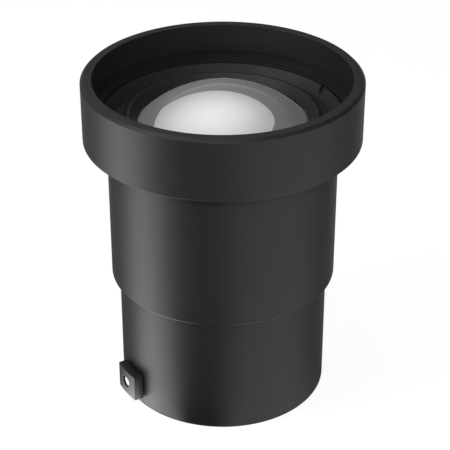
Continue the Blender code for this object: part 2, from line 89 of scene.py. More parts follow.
camera_data = bpy.data.cameras.new("photo_camera")
camera_data.lens = FOCAL_LENGTH_MM
camera_data.sensor_width = SENSOR_WIDTH_MM
camera_data.clip_start = CLIP_START
camera_data.clip_end = CLIP_END
camera = into_scene("photo_camera", camera_data)
down = radians(CAMERA_ELEVATION)
camera.location = (CAMERA_SLIDE, -CAMERA_DISTANCE * cos(down),
                   AIM_HEIGHT + CAMERA_DISTANCE * sin(down))
camera.rotation_euler = (pi / 2 - down, 0.0, 0.0)
bpy.context.scene.camera = camera
print("camera at", [round(v, 4) for v in camera.location])

# %% [markdown]
# ## Sizes from the frame
#
# Each turned piece is known by its largest radius and by its two ends, and the frame's boxes
# give all three. Only the walls, steps and clearances between them have to be named here.
# They are the same values as in the model's own source, apart from the spanner slots and the
# pin holes, which follow a closer look at the photograph.

# %% Sizes from the frame


def radius_of(node):
    """Half the width of a turned node's box."""
    low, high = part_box(node)
    return (high.x - low.x) / 2


def span_of(node):
    """Lowest and highest height of a node."""
    low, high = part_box(node)
    return low.z, high.z


GAP = 0.3 * MM
r_hood, (z_hood, z_top) = radius_of("front_hood"), span_of("front_hood")
r_main, (z_main, z_spigot) = radius_of("main_barrel"), span_of("main_barrel")
r_rear, (z_foot, z_neck) = radius_of("rear_barrel"), span_of("rear_barrel")
r_flange, (z_cell_foot, z_cone_top) = radius_of("front_cell"), span_of("front_cell")
r_lens, (z_lens_foot, z_lens_top) = radius_of("front_lens"), span_of("front_lens")
r_retainer, (z_retainer_foot, z_crest) = (radius_of("front_retaining_ring"),
                                          span_of("front_retaining_ring"))
r_bayonet, (z_bayonet, z_bayonet_top) = radius_of("bayonet_ring"), span_of("bayonet_ring")
r_rear_cell, (z_tube_foot, z_tube_top) = radius_of("rear_cell"), span_of("rear_cell")
print("hood radius %.2f mm, overall height %.2f mm" % (r_hood / MM, z_top / MM))

# %% [markdown]
# ## Turned pieces
#
# Nearly every piece is turned on a lathe, so one function can make them all. A turned shape
# is a closed outline in the plane of radius and height that is carried once round the axis.
# Blender's Screw modifier or a spin would do it too. Here the whole surface is worked out as
# one array, because the same array can later be bent into lugs and hexagons.
#
# A real edge is never sharp. It is broken with a file or a chamfer tool, and that thin arc is
# what catches the light. So each corner of an outline carries the radius of its arc, and a
# short straight stretch is kept beside the arc, so that the shading of a wide flat face stays
# flat right up to its edge.

# %% Outlines with broken edges
ARC_STEPS = 6
HOLD = 0.25 * MM
LEAST_HOLD = 0.001 * MM


def unit(vectors):
    """Each row divided by its own length."""
    return vectors / np.linalg.norm(vectors, axis=1, keepdims=True)


def broken_outline(corners):
    """Replace each corner of a closed outline by an arc that touches both of its edges.

    A corner is (radius, height, arc radius). With the unit vectors a and b that run from the
    corner along its two edges, and half the angle h between them, the arc starts and ends at
    arc radius / tan(h) from the corner, and its centre lies on the line half-way between a
    and b, at arc radius / sin(h). The points between are the spherical mix of the two
    directions from the centre. One more point is held on each edge, beside the arc, at a
    quarter of the straight length that is left, and at most at HOLD.
    """
    corners = np.array(corners, float)
    here, arc = corners[:, :2], corners[:, 2:]
    before, after = np.roll(here, 1, 0), np.roll(here, -1, 0)
    a, b = unit(before - here), unit(after - here)
    half = np.arccos(np.clip((a * b).sum(1, keepdims=True), -1, 1)) / 2
    reach = arc / np.tan(half)
    start, end = here + a * reach, here + b * reach
    centre = here + unit(a + b) * arc / np.sin(half)
    turn = pi - 2 * half
    share = np.linspace(0, 1, ARC_STEPS)[None, :, None]
    bend = turn[:, None]
    mix = (np.sin((1 - share) * bend) * (start - centre)[:, None]
           + np.sin(share * bend) * (end - centre)[:, None]) / np.sin(bend)
    arcs = centre[:, None] + mix
    reach_before, reach_after = np.roll(reach, 1, 0), np.roll(reach, -1, 0)
    spare_in = np.linalg.norm(before - here, axis=1, keepdims=True) - reach - reach_before
    spare_out = np.linalg.norm(after - here, axis=1, keepdims=True) - reach - reach_after
    hold_in = np.clip(spare_in / 4, LEAST_HOLD, HOLD)
    hold_out = np.clip(spare_out / 4, LEAST_HOLD, HOLD)
    rows = np.concatenate([(start + a * hold_in)[:, None], arcs, (end + b * hold_out)[:, None]], 1)
    return rows.reshape(-1, 2)


sample = broken_outline([(1, 0, .1), (2, 0, .1), (2, 1, .1), (1, 1, .1)])
print("a square outline with broken corners has", len(sample), "points")

# %% [markdown]
# The second half of the job turns a grid of points into a mesh. The grid's first direction
# runs round the axis and always closes. Its second direction runs along the outline, and it
# closes too unless both ends lie on the axis, where the quads shrink to a fan of triangles.

# %% From a grid of points to a mesh
ROUND_STEPS = 192
SMALL_STEPS = 96
MERGE_DISTANCE = 1e-7
SHARP_ANGLE = 32


def outward_mesh(name, points, faces):
    """A mesh with its doubled points merged and its faces turned outwards."""
    mesh = bpy.data.meshes.new(name)
    mesh.from_pydata(points, [], faces)
    bm = bmesh.new()
    bm.from_mesh(mesh)
    bmesh.ops.remove_doubles(bm, verts=bm.verts, dist=MERGE_DISTANCE)
    bmesh.ops.recalc_face_normals(bm, faces=bm.faces)
    bm.to_mesh(mesh)
    bm.free()
    return mesh


def mesh_from_grid(name, grid, closed=True):
    """Faces between neighbouring points of a grid (round, along, xyz).

    Face (i, j) joins the points (i, j), (i + 1, j), (i + 1, j + 1) and (i, j + 1), where i
    wraps round, and j wraps too when the outline is closed. Points that fall together, as at
    a pole, are merged.
    """
    around, along = grid.shape[:2]
    i = np.arange(around)[:, None]
    j = np.arange(along if closed else along - 1)[None, :]
    i_next, j_next = (i + 1) % around, (j + 1) % along
    faces = np.stack([i * along + j, i_next * along + j,
                      i_next * along + j_next, i * along + j_next], -1)
    return outward_mesh(name, grid.reshape(-1, 3), faces.reshape(-1, 4))


def shade(mesh):
    """Smooth shading that breaks at edges sharper than SHARP_ANGLE degrees."""
    mesh.shade_smooth()
    mesh.set_sharp_from_angle(angle=radians(SHARP_ANGLE))


def piece_from_mesh(name, mesh):
    """A shaded object at the origin for a finished mesh."""
    shade(mesh)
    return into_scene(name, mesh)


def swept(outline, steps):
    """Carry an outline once round the axis: x = r cos(t), y = r sin(t), z = height."""
    t = np.linspace(0, 2 * pi, steps, endpoint=False)[:, None]
    r, z = outline[None, :, 0], outline[None, :, 1]
    return np.stack([r * np.cos(t), r * np.sin(t), z + 0 * t], -1)


def turned(name, corners, steps=ROUND_STEPS):
    """A turned piece from the corners of its closed outline."""
    grid = swept(broken_outline(corners), steps)
    piece = piece_from_mesh(name, mesh_from_grid(name, grid))
    print("%-26s %6d faces" % (name, len(piece.data.polygons)))
    return piece


def spun(name, outline, steps, place=Matrix.Identity(4)):
    """A piece turned from an open outline that runs from axis to axis, in its place."""
    mesh = mesh_from_grid(name, swept(np.array(outline), steps), closed=False)
    mesh.transform(place)
    return piece_from_mesh(name, mesh)


# %% [markdown]
# ## The front hood
#
# The hood is the wide ring that shields the front glass. Its outline starts at the foot of
# the outer wall and runs anticlockwise: up the wall, over the chamfer and the flat front
# face, and down the bore. Near the bottom the bore has an undercut, where the thread tool
# ran out, and under it a thin ledge that holds the lens cell down.

# %% The front hood
EDGE = 0.12 * MM
FINE_EDGE = 0.06 * MM
HOOD_WALL = 3.3 * MM
HOOD_CHAMFER = 0.8 * MM
CHAMFER_EDGE = 0.3 * MM
HOOD_FOOT_EDGE = 0.3 * MM
UNDERCUT = 0.4 * MM
LEDGE_WIDTH = 1.9 * MM
BAND_HEIGHT = 2.6 * MM

r_hood_bore = r_hood - HOOD_WALL
r_band = r_hood_bore + UNDERCUT
r_pocket = r_band - LEDGE_WIDTH
z_ledge = z_cone_top + GAP
z_band = z_ledge + BAND_HEIGHT

hood = turned("front_hood_shell", [
    (r_hood, z_hood, HOOD_FOOT_EDGE),
    (r_hood, z_top - HOOD_CHAMFER, CHAMFER_EDGE),
    (r_hood - HOOD_CHAMFER, z_top, CHAMFER_EDGE),
    (r_hood_bore, z_top, EDGE),
    (r_hood_bore, z_band, FINE_EDGE),
    (r_band, z_band, FINE_EDGE),
    (r_band, z_ledge, FINE_EDGE),
    (r_pocket, z_ledge, FINE_EDGE),
    (r_pocket, z_spigot, FINE_EDGE),
    (r_main + GAP, z_spigot, FINE_EDGE),
    (r_main + GAP, z_hood, EDGE),
])
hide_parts("front_hood")

# %% [markdown]
# ## The two barrels
#
# The main barrel is a plain tube with a rounded foot. The rear barrel screws into it with a
# slimmer neck, so the two meet in a thin dark line. Both are outlines again. The thin line
# needs no paint: the clearance between the two pieces makes it.

# %% The main barrel
BARREL_WALL = 1.9 * MM
CELL_STOP = 1.8 * MM
MAIN_FOOT_EDGE = 0.7 * MM
NECK_STEP = 0.7 * MM

r_barrel_bore = r_main - BARREL_WALL
r_main_bore = r_barrel_bore - CELL_STOP
r_neck = r_rear - NECK_STEP
z_cell_stop = z_cell_foot - GAP

main = turned("main_barrel_shell", [
    (r_main, z_main, MAIN_FOOT_EDGE),
    (r_main, z_spigot, EDGE),
    (r_barrel_bore, z_spigot, FINE_EDGE),
    (r_barrel_bore, z_cell_stop, FINE_EDGE),
    (r_main_bore, z_cell_stop, FINE_EDGE),
    (r_main_bore, z_neck + GAP, FINE_EDGE),
    (r_neck + GAP, z_neck + GAP, FINE_EDGE),
    (r_neck + GAP, z_main, EDGE),
])
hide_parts("main_barrel")

# %% The rear barrel
REAR_WALL = 2.2 * MM
INNER_STEP = 3.7 * MM
INNER_STEP_HEIGHT = 13.4 * MM
REAR_FOOT_EDGE = 0.3 * MM

r_rear_bore = r_rear - REAR_WALL
r_inner = r_rear_bore - INNER_STEP
z_shoulder = z_bayonet_top + GAP
z_rear_seat = z_shoulder + INNER_STEP_HEIGHT

rear = turned("rear_barrel_shell", [
    (r_rear, z_foot, REAR_FOOT_EDGE),
    (r_rear, z_main - GAP, EDGE),
    (r_neck, z_main - GAP, FINE_EDGE),
    (r_neck, z_neck, FINE_EDGE),
    (r_rear_bore, z_neck, FINE_EDGE),
    (r_rear_bore, z_rear_seat, FINE_EDGE),
    (r_inner, z_rear_seat, FINE_EDGE),
    (r_inner, z_shoulder, FINE_EDGE),
    (r_rear_bore, z_shoulder, FINE_EDGE),
    (r_rear_bore, z_foot, EDGE),
])
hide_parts("rear_barrel")

# %% [markdown]
# ## The lens cell
#
# The front glass sits in a cup of its own, the cell. Around the glass the cell is a flat
# floor that turns up into a cone. Two shallow slots in the cone take the prongs of a
# spanner. They are milled after turning, and the same order works here: the turned surface
# is made first, and small tools are taken out of it with an exact Boolean that is applied at
# once, so the finished piece is a plain mesh.

# %% Cutting with small tools
DRILL_STEPS = 32


def take_out(piece, tools):
    """Cut each tool's shape out of a piece and leave a plain mesh."""
    for tool in tools:
        cut = piece.modifiers.new("cut", "BOOLEAN")
        cut.operation = "DIFFERENCE"
        cut.solver = "EXACT"
        cut.object = tool
    graph = bpy.context.evaluated_depsgraph_get()
    cut_mesh = bpy.data.meshes.new_from_object(piece.evaluated_get(graph))
    piece.modifiers.clear()
    piece.data = cut_mesh
    piece.data.name = piece.name
    for tool in tools:
        bpy.data.objects.remove(tool, do_unlink=True)
    if not cut_mesh.polygons:
        raise RuntimeError("the cut left nothing of " + piece.name)
    shade(cut_mesh)
    print("%-26s %6d faces after cutting" % (piece.name, len(cut_mesh.polygons)))


def at_angle(angle, radius=0.0, height=0.0):
    """An upright frame at an angle round the axis, a radius and a height."""
    return Matrix.Rotation(radians(angle), 4, "Z") @ Matrix.Translation((radius, 0, height))


# %% The lens cell
CELL_WALL = 2.5 * MM
CELL_FLANGE = 1.3 * MM
CELL_CONE_RISE = 2.6 * MM
CELL_RIM_CHAMFER = 0.6 * MM
LENS_SEAT_WIDTH = 2.8 * MM
LENS_RIM = 3.9 * MM
RETAINER_LIP = 1.2 * MM
SEAL_SECTION = 0.85 * MM
SEAL_HEIGHT = 2.6 * MM
LENS_SEAL_SECTION = 0.6 * MM

r_cone_top = r_flange - CELL_RIM_CHAMFER
r_cone_foot = r_cone_top - CELL_CONE_RISE
r_cell = r_barrel_bore - GAP
r_cell_thread = r_cell - CELL_WALL
r_lens_bore = r_cell_thread - RETAINER_LIP
r_cell_hole = r_lens_bore - LENS_SEAT_WIDTH
z_flange = z_spigot + GAP
z_floor = z_flange + CELL_FLANGE
z_lens_rim = z_lens_foot + LENS_RIM
z_lens_seat = z_lens_foot - GAP
z_seal = z_cell_foot + SEAL_HEIGHT
r_seal_floor = r_cell - 2 * SEAL_SECTION - GAP
seal_half = SEAL_SECTION + GAP
r_lens_seal = (r_cell_hole + r_lens_bore) / 2
lens_seal_half = LENS_SEAL_SECTION + GAP / 2
z_seal_floor = z_lens_seat - 2 * LENS_SEAL_SECTION

cell = turned("front_cell_shell", [
    (r_cell_hole, z_cell_foot, FINE_EDGE),
    (r_cell, z_cell_foot, EDGE),
    (r_cell, z_seal - seal_half, FINE_EDGE),
    (r_seal_floor, z_seal - seal_half, FINE_EDGE),
    (r_seal_floor, z_seal + seal_half, FINE_EDGE),
    (r_cell, z_seal + seal_half, FINE_EDGE),
    (r_cell, z_flange, FINE_EDGE),
    (r_flange, z_flange, FINE_EDGE),
    (r_flange, z_cone_top - CELL_RIM_CHAMFER, EDGE),
    (r_cone_top, z_cone_top, EDGE),
    (r_cone_foot, z_floor, EDGE),
    (r_cell_thread, z_floor, EDGE),
    (r_cell_thread, z_lens_rim, FINE_EDGE),
    (r_lens_bore, z_lens_rim, FINE_EDGE),
    (r_lens_bore, z_lens_seat, FINE_EDGE),
    (r_lens_seal + lens_seal_half, z_lens_seat, FINE_EDGE),
    (r_lens_seal + lens_seal_half, z_seal_floor, FINE_EDGE),
    (r_lens_seal - lens_seal_half, z_seal_floor, FINE_EDGE),
    (r_lens_seal - lens_seal_half, z_lens_seat, FINE_EDGE),
    (r_cell_hole, z_lens_seat, FINE_EDGE),
])

# %% [markdown]
# The slots are milled with the cutter square to the cone's slope, so each is as deep at its
# round inner end as at the rim, where it runs out. Its tool is a bar whose plan is a half
# circle with two straight sides, tilted to lie on the slope.

# %% The spanner slots
SLOT_WIDTH = 2.7 * MM
SLOT_DEPTH = 0.8 * MM
SLOT_START = 1.5 * MM
SLOT_ANGLE = 29.6
CONE_SLOPE = pi / 4
MILL_STEPS = 25


def end_mill(angle):
    """The slot's tool, in a frame whose X runs up the cone's slope from its foot.

    Its plan is a half circle of the slot's width and two straight sides that run out past
    the rim. The plan is carried from the slot's depth under the slope to a slot's width
    above it.
    """
    half = SLOT_WIDTH / 2
    turn = np.linspace(pi / 2, 3 * pi / 2, MILL_STEPS)
    plan = np.stack([SLOT_START + half + half * np.cos(turn), half * np.sin(turn)], -1)
    past_rim = sqrt(2) * CELL_CONE_RISE + half
    plan = np.vstack([plan, [(past_rim, -half), (past_rim, half)]])
    middle = plan.mean(0)
    low, high = -SLOT_DEPTH, SLOT_WIDTH
    rings = [(middle, low), (plan, low), (plan, high), (middle, high)]
    grid = np.stack([np.column_stack([xy + 0 * plan, np.full(len(plan), z)])
                     for xy, z in rings], 1)
    mesh = mesh_from_grid("tool", grid, closed=False)
    tilt = Matrix.Rotation(-CONE_SLOPE, 4, "Y")
    mesh.transform(at_angle(angle, r_cone_foot, z_floor) @ tilt)
    return piece_from_mesh("tool", mesh)


take_out(cell, [end_mill(SLOT_ANGLE + 180 * i) for i in range(2)])
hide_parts("front_cell")

# %% [markdown]
# ## The domed front glass
#
# The glass is germanium, which is opaque to the eye and clear to heat. Its front is part of
# a ball and its back is hollow, a shape that opticians call a meniscus. A cap of a ball is
# an arc in the outline: with rim radius a and height s, the ball's radius is
# (a * a + s * s) / (2 * s).

# %% The domed front glass
LENS_REAR_SAG = 9.2 * MM
LENS_REAR_FLAT = 3.0 * MM
LENS_BEVEL = 0.15 * MM
CAP_STEPS = 48


def ball_radius(rim, sag):
    """Radius of the ball whose cap has this rim radius and height."""
    return (rim * rim + sag * sag) / (2 * sag)


def cap_outline(rim, z_rim, sag, steps=CAP_STEPS, lift=0.0, inner=0.0):
    """Points of a ball's cap from the radius inner to its rim, evenly spaced along the arc.

    r = (R + lift) sin(t) and z = z_rim + sag - R + (R + lift) cos(t). The sign of sag says
    whether the cap bulges up or down.
    """
    ball = ball_radius(rim, abs(sag))
    side = 1 if sag > 0 else -1
    t = np.linspace(np.arcsin(inner / (ball + lift)), np.arcsin(rim / (ball + lift)), steps)
    r = (ball + lift) * np.sin(t)
    z = z_rim + sag - side * ball + side * (ball + lift) * np.cos(t)
    return np.column_stack([r, z])


sag = z_lens_top - z_lens_rim
dome = cap_outline(r_lens - LENS_BEVEL, z_lens_rim + LENS_BEVEL, sag - LENS_BEVEL)
r_hollow = r_lens - LENS_REAR_FLAT
hollow = cap_outline(r_hollow, z_lens_foot, LENS_REAR_SAG)
side_wall = [(r_lens - LENS_BEVEL, z_lens_foot), (r_lens, z_lens_foot + LENS_BEVEL),
             (r_lens, z_lens_rim)]
lens_outline = np.vstack([hollow, side_wall, dome[::-1]])
front_glass = spun("front_glass", lens_outline, ROUND_STEPS)
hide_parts("front_lens")
ball = ball_radius(r_lens, sag)
print("front glass: ball of %.1f mm radius, %.1f mm high" % (ball / MM, sag / MM))

# %% [markdown]
# ## The retaining ring
#
# A threaded ring presses on the rim of the dome. Outside it has a large round edge, inside
# it slopes down to the glass, and underneath it follows the dome with a small clearance.
# The underside is a stretch of the same ball, lifted by the clearance. Two small holes in the
# round edge, just outside its crest, take the pins of a spanner.

# %% The retaining ring
RETAINER_GRIP = 2.7 * MM
RETAINER_FILLET = 1.4 * MM
RETAINER_CREST = 0.3 * MM
UNDERSIDE_STEPS = 8

r_retainer_hole = r_lens - RETAINER_GRIP
r_crest = r_retainer - RETAINER_FILLET - RETAINER_CREST
underside = cap_outline(r_lens, z_lens_rim, sag, UNDERSIDE_STEPS, lift=GAP, inner=r_retainer_hole)
underside = underside[underside[:, 0] < r_lens - GAP / 2]
retaining_ring = turned("front_retaining_ring_shell", [
    (r_retainer, z_retainer_foot, EDGE),
    (r_retainer, z_crest, RETAINER_FILLET),
    (r_crest, z_crest, EDGE),
    (*underside[0], EDGE),
    (*underside[-1], FINE_EDGE),
    (r_lens, z_retainer_foot, FINE_EDGE),
])

# %% The pin holes
PIN_HOLE_RADIUS = 0.6 * MM
PIN_HOLE_DEPTH = 1.5 * MM
PIN_HOLE_INSET = 1.16 * MM
PIN_HOLE_ANGLE = 15.6


def pin_drill(angle):
    """A drill with a blunt tip that goes down into the ring's round edge."""
    profile = [(0, -PIN_HOLE_DEPTH), (PIN_HOLE_RADIUS, -PIN_HOLE_DEPTH + PIN_HOLE_RADIUS / 2),
               (PIN_HOLE_RADIUS, PIN_HOLE_DEPTH), (0, PIN_HOLE_DEPTH)]
    return spun("tool", profile, DRILL_STEPS, at_angle(angle, r_retainer - PIN_HOLE_INSET, z_crest))


take_out(retaining_ring, [pin_drill(PIN_HOLE_ANGLE + 180 * i) for i in range(2)])
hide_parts("front_retaining_ring")

# %% [markdown]
# ## The index block
#
# A small block on the rear barrel shows how to turn the lens when it is mounted. Its sides
# are straight, its back and front follow the barrel's curve, and a white disc is sunk in its
# face. The block is a rectangle in the plane of radius and height that is carried sideways:
# at the sideways place y the inner and outer radius become sqrt(r * r - y * y).

# %% The index block
INDEX_ANGLE = 211.2
INDEX_WIDTH = 9.9 * MM
INDEX_PROUD = 3.2 * MM
INDEX_EDGE = 0.2 * MM
INDEX_EDGE_STEPS = 3
INDEX_EDGE_FROM = 60
DOT_RADIUS = 1.5 * MM
DOT_SINK = 0.5 * MM
DOT_THICKNESS = 0.6 * MM
BLOCK_STEPS = 24

z_block, z_block_top = span_of("index_block")
z_dot = (z_block + z_block_top) / 2
r_block_face = r_rear + INDEX_PROUD


def index_block_mesh():
    """The rectangle of four corners carried along y, with both end faces closed."""
    y = np.linspace(-INDEX_WIDTH / 2, INDEX_WIDTH / 2, BLOCK_STEPS)
    inside = np.sqrt((r_rear + GAP) ** 2 - y * y)
    outside = np.sqrt(r_block_face ** 2 - y * y)
    low, high = 0 * y + z_block, 0 * y + z_block_top
    grid = np.stack([np.column_stack(c) for c in (
        (outside, y, low), (outside, y, high), (inside, y, high), (inside, y, low))], 0)
    step = np.arange(BLOCK_STEPS - 1)
    corner = np.arange(len(grid))[:, None] * BLOCK_STEPS
    next_corner = np.roll(corner, -1, 0)
    sides = np.stack([corner + step, next_corner + step,
                      next_corner + step + 1, corner + step + 1], -1)
    ends = np.concatenate([corner.T, corner.T + BLOCK_STEPS - 1])
    faces = np.concatenate([sides.reshape(-1, 4), ends])
    return outward_mesh("index_block_shell", grid.reshape(-1, 3), faces)


def pointing_out(angle, side=0.0, height=0.0):
    """A frame whose Z points straight out at an angle round the axis."""
    return (Matrix.Rotation(radians(angle), 4, "Z") @ Matrix.Translation((0, side, height))
            @ Matrix.Rotation(pi / 2, 4, "Y"))


block_mesh = index_block_mesh()
block_mesh.transform(at_angle(INDEX_ANGLE))
block = piece_from_mesh("index_block_shell", block_mesh)
bevel = block.modifiers.new("broken_edges", "BEVEL")
bevel.width = INDEX_EDGE
bevel.segments = INDEX_EDGE_STEPS
bevel.limit_method = "ANGLE"
bevel.angle_limit = radians(INDEX_EDGE_FROM)
sink = DOT_SINK + DOT_THICKNESS + GAP
dot_place = pointing_out(INDEX_ANGLE, height=z_dot)
dot_drill = spun("tool", [
    (0, r_block_face - sink), (DOT_RADIUS + GAP, r_block_face - sink),
    (DOT_RADIUS + GAP, r_block_face + sink), (0, r_block_face + sink)], SMALL_STEPS, dot_place)
take_out(block, [dot_drill])
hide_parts("index_block")

# %% [markdown]
# The dot is a drop of white enamel in its seat. A drop stands a little higher in the middle
# than at its rim, so its top is the cap of a large ball.

# %% The index dot
ENAMEL_RISE = 0.12 * MM
ENAMEL_STEPS = 12

r_dot_top = r_block_face - DOT_SINK
enamel = cap_outline(DOT_RADIUS, r_dot_top - ENAMEL_RISE, ENAMEL_RISE, ENAMEL_STEPS)
r_dot_back = r_dot_top - DOT_THICKNESS
dot_outline = np.vstack([[(0.0, r_dot_back), (DOT_RADIUS, r_dot_back)], enamel[::-1]])
dot = spun("index_dot_enamel", dot_outline, SMALL_STEPS, dot_place)
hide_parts("index_dot")
print("index dot: %.1f mm across at height %.2f mm" % (2 * DOT_RADIUS / MM, z_dot / MM))

# %% [markdown]
# ## The bayonet ring
#
# The rear end takes the camera with three lugs that reach inwards. In the plane of radius and
# height the ring is a rectangle, but its inner side moves in and out on the way round: the
# inner radius is the hole's radius, less the lug's reach inside a lug.

# %% The bayonet ring
LUGS = 3
LUG_REACH = 1.4 * MM
LUG_ANGLE = 50.0
BAYONET_RIM = 1.0 * MM
LUG_STEPS = 720
SCREW_INSET = 1.9 * MM
SCREW_RADIUS = 0.7 * MM
SCREW_LENGTH = 4.8 * MM
SCREW_HEAD_RADIUS = 1.3 * MM
SCREW_HEAD_HEIGHT = 0.8 * MM
# How far a tool runs past what it cuts, so that no thin skin is left.
OVERRUN = 1 * MM

r_bayonet_hole = r_inner - BAYONET_RIM
r_screws = r_bayonet - SCREW_INSET


def bayonet_grid():
    """The ring's outline carried round, with its inner side moved inwards in each lug."""
    outline = broken_outline([
        (r_bayonet_hole, z_bayonet, EDGE), (r_bayonet, z_bayonet, EDGE),
        (r_bayonet, z_bayonet_top, EDGE), (r_bayonet_hole, z_bayonet_top, EDGE)])
    grid = swept(outline, LUG_STEPS)
    angle = np.arange(LUG_STEPS) * 360 / LUG_STEPS
    pitch = 360 / LUGS
    in_lug = np.abs((angle + pitch / 2) % pitch - pitch / 2) <= LUG_ANGLE / 2
    inner = outline[:, 0] < (r_bayonet_hole + r_bayonet) / 2
    shrink = 1 - LUG_REACH * in_lug[:, None] * inner[None, :] / outline[None, :, 0]
    grid[:, :, :2] *= shrink[:, :, None]
    return grid


def screw_bore(place, head_sink, depth):
    """A stepped drill: wide for the head from far outside to its seat, narrow for the shank."""
    wide, narrow = SCREW_HEAD_RADIUS + GAP, SCREW_RADIUS + GAP
    seat = SCREW_HEAD_HEIGHT + GAP
    return spun("tool", [(0, -head_sink), (wide, -head_sink), (wide, seat), (narrow, seat),
                         (narrow, depth), (0, depth)], DRILL_STEPS, place)


bayonet_mesh = mesh_from_grid("bayonet_ring_steel", bayonet_grid())
bayonet = piece_from_mesh("bayonet_ring_steel", bayonet_mesh)
screw_angles = [(i + 0.5) * 360 / LUGS for i in range(LUGS)]
screw_places = [at_angle(a, r_screws, z_bayonet) for a in screw_angles]
screw_end = SCREW_HEAD_HEIGHT + SCREW_LENGTH + 2 * GAP
take_out(bayonet, [screw_bore(p, 2 * OVERRUN, screw_end) for p in screw_places])
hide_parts("bayonet_ring")

# %% [markdown]
# ## The screws
#
# Five small screws are turned and then get a hexagon socket. A hexagon is a circle whose
# radius changes with the angle: apothem / cos(angle from the middle of the nearest side). So
# the screw is one grid again, with its rings given as a radius, a height and whether the
# ring is round or a hexagon.

# %% The screws
SOCKET_APOTHEM = 0.5 * MM
SOCKET_DEPTH = 0.5 * MM
HEAD_EDGE = 0.12 * MM
SCREW_STEPS = 48


def socket_screw(name, place, length):
    """A screw with its head at the origin of its place and its shank along Z."""
    t = np.arange(SCREW_STEPS) * 2 * pi / SCREW_STEPS
    hexagon = SOCKET_APOTHEM / np.cos((t + pi / 6) % (pi / 3) - pi / 6)
    circle = np.ones_like(t)
    head, top = SCREW_HEAD_RADIUS, SCREW_HEAD_HEIGHT
    end = top + length
    rings = [(0 * t, SOCKET_DEPTH), (hexagon, SOCKET_DEPTH), (hexagon, 0.0),
             (circle * (head - HEAD_EDGE), 0.0), (circle * head, HEAD_EDGE),
             (circle * head, top), (circle * SCREW_RADIUS, top),
             (circle * SCREW_RADIUS, end - HEAD_EDGE),
             (circle * (SCREW_RADIUS - HEAD_EDGE), end), (0 * t, end)]
    grid = np.stack([np.column_stack([r * np.cos(t), r * np.sin(t), 0 * t + z])
                     for r, z in rings], 1)
    mesh = mesh_from_grid(name, grid, closed=False)
    mesh.transform(place)
    return piece_from_mesh(name, mesh)


INDEX_SCREW_SPREAD = 3.1 * MM
INDEX_SCREW_RISE = 2.0 * MM
INDEX_SCREW_BITE = 2.0 * MM

screws = []
for i, place in enumerate(screw_places):
    screws.append(socket_screw(f"bayonet_screw_{i + 1}_steel", place, SCREW_LENGTH))
    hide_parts(f"bayonet_screw_{i + 1}")
index_places = [pointing_out(INDEX_ANGLE, side * INDEX_SCREW_SPREAD, z_dot + INDEX_SCREW_RISE)
                @ Matrix.Translation((0, 0, r_inner)) for side in (-1, 1)]
wall = r_rear - r_inner
for i, place in enumerate(index_places):
    reach = wall - SCREW_HEAD_HEIGHT + INDEX_SCREW_BITE
    screws.append(socket_screw(f"index_screw_{i + 1}_steel", place, reach))
    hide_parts(f"index_screw_{i + 1}")

bores = [screw_bore(p, 0.0, screw_end) for p in screw_places]
bores += [screw_bore(p, OVERRUN, wall + OVERRUN) for p in index_places]
take_out(rear, bores)


def tap_drill(place):
    """A plain drill from inside the barrel's wall to just past the end of an index screw."""
    narrow = SCREW_RADIUS + GAP
    low, high = wall - narrow, wall + INDEX_SCREW_BITE + GAP
    return spun("tool", [(0, low), (narrow, low), (narrow, high), (0, high)], DRILL_STEPS, place)


take_out(block, [tap_drill(p) for p in index_places])
print("screws:", len(screws))

# %% [markdown]
# ## What shows through the rear throat
#
# Looking into the rear end, the eye meets the rear cell with its flange, web and tube, and
# inside the tube a ring and the small rear glass. All of them are turned.

# %% The rear cell
FLANGE_HEIGHT = 4.0 * MM
FLANGE_WIDTH = 3.2 * MM
WEB_THICKNESS = 2.5 * MM
OPTIC_POCKET = 6.3 * MM
OPTIC_SEAT = 1.8 * MM
TUBE_WALL = 2.3 * MM

r_optic, z_optic_low = radius_of("rear_lens"), span_of("rear_lens")[0]
r_optic_bore = r_optic + GAP
r_tube = r_optic_bore + TUBE_WALL
r_optic_hole = r_optic_bore - OPTIC_SEAT
z_rear_cell = z_rear_seat + GAP
z_rear_seal = z_rear_cell + FLANGE_HEIGHT / 2
r_rear_seal_floor = r_rear_cell - 2 * SEAL_SECTION - GAP

rear_cell = turned("rear_cell_shell", [
    (r_optic_bore, z_tube_foot, EDGE),
    (r_tube, z_tube_foot, EDGE),
    (r_tube, z_rear_cell, EDGE),
    (r_rear_cell, z_rear_cell, EDGE),
    (r_rear_cell, z_rear_seal - seal_half, FINE_EDGE),
    (r_rear_seal_floor, z_rear_seal - seal_half, FINE_EDGE),
    (r_rear_seal_floor, z_rear_seal + seal_half, FINE_EDGE),
    (r_rear_cell, z_rear_seal + seal_half, FINE_EDGE),
    (r_rear_cell, z_rear_cell + FLANGE_HEIGHT, EDGE),
    (r_rear_cell - FLANGE_WIDTH, z_rear_cell + FLANGE_HEIGHT, EDGE),
    (r_rear_cell - FLANGE_WIDTH, z_rear_cell + WEB_THICKNESS, EDGE),
    (r_tube, z_rear_cell + WEB_THICKNESS, EDGE),
    (r_tube, z_tube_top, EDGE),
    (r_optic_bore, z_tube_top, FINE_EDGE),
    (r_optic_bore, z_tube_top - OPTIC_POCKET, FINE_EDGE),
    (r_optic_hole, z_tube_top - OPTIC_POCKET, FINE_EDGE),
    (r_optic_hole, z_tube_foot + OPTIC_POCKET, FINE_EDGE),
    (r_optic_bore, z_tube_foot + OPTIC_POCKET, FINE_EDGE),
])
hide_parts("rear_cell")

# %% The rear glass and its ring
OPTIC_SAG = 1.4 * MM
OPTIC_RIM = 2.5 * MM
BULGE_STEPS = 16
DISH_STEPS = 12
RING_BEVEL = 0.7 * MM
RING_WALL = 2.2 * MM

